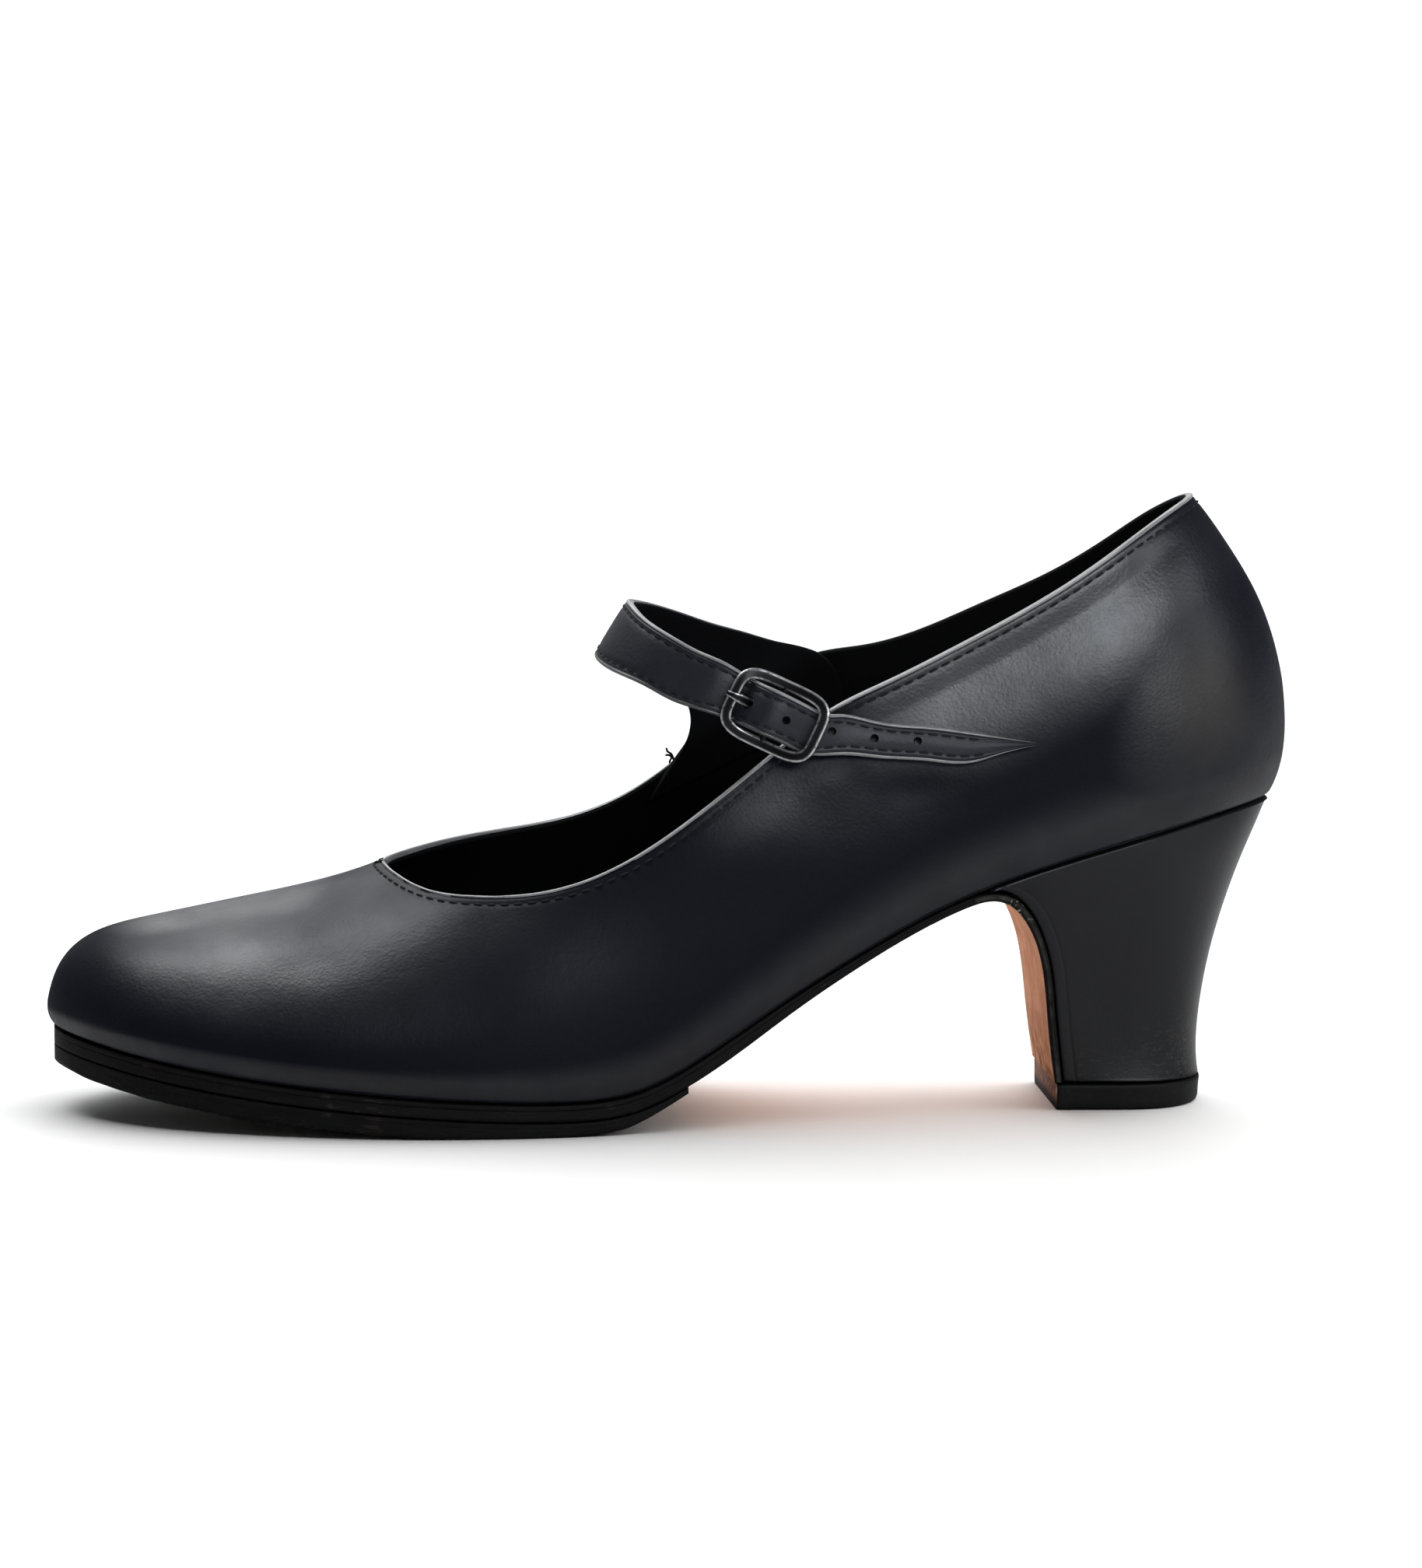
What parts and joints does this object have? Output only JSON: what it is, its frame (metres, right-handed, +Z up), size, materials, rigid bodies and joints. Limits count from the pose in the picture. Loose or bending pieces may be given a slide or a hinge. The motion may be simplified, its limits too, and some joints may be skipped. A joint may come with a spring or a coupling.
{
  "type": "flamenco shoe",
  "caption": "Woman's left flamenco shoe: black leather upper with a buckled instep strap, leather sole with a half sole, and a curved covered heel on a top lift.",
  "frame": {"origin": "on the floor under the middle of the shoe's bounding box", "axes": "+Z up, toe towards -X, the outer (lateral) side with the buckle towards -Y"},
  "size_m": [0.2426, 0.0842, 0.119],
  "materials": {
    "upper_leather": "smooth black calf with a satin sheen",
    "heel_leather": "smooth black leather drawn over the heel block",
    "sole_leather": "bare tan sole leather with blackened edges",
    "sole_rubber": "matt black",
    "insole_leather": "matt dark lining leather",
    "buckle_metal": "black, worn bright on the edges"
  },
  "bodies": {
    "root": {"upper": "upper_leather", "strap": "upper_leather", "buckle_frame": "buckle_metal", "buckle_prong": "buckle_metal", "buckle_chape": "upper_leather", "outsole": "sole_leather", "half_sole": "sole_rubber", "heel": "heel_leather", "top_lift": "sole_rubber", "insole": "insole_leather"}
  },
  "joints": []
}
